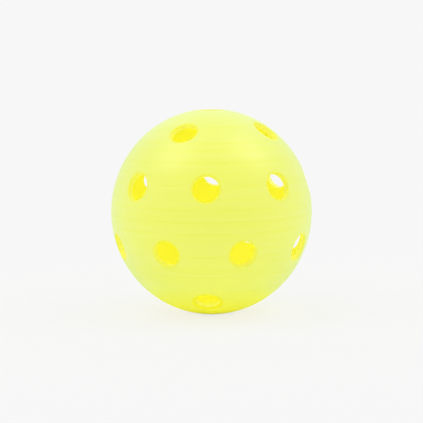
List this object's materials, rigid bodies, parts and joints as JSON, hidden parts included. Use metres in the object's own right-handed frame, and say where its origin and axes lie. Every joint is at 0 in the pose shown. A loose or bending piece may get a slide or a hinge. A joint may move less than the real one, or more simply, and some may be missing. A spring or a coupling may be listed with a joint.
{
  "type": "pickleball ball",
  "caption": "Hollow moulded plastic ball with round holes all over it, made of two welded half shells, for hitting with a paddle.",
  "frame": {"origin": "centre of the ball, on the weld plane", "axes": "+Z along the moulding axis, from the lower pole's hole to the upper pole's hole"},
  "size_m": [0.0734, 0.0734, 0.0744],
  "materials": {
    "upper_half_plastic": "satin",
    "lower_half_plastic": "satin",
    "weld_plastic": "satin"
  },
  "bodies": {
    "root": {"upper_half_shell": "upper_half_plastic", "lower_half_shell": "lower_half_plastic", "weld_bead": "weld_plastic"}
  },
  "joints": []
}
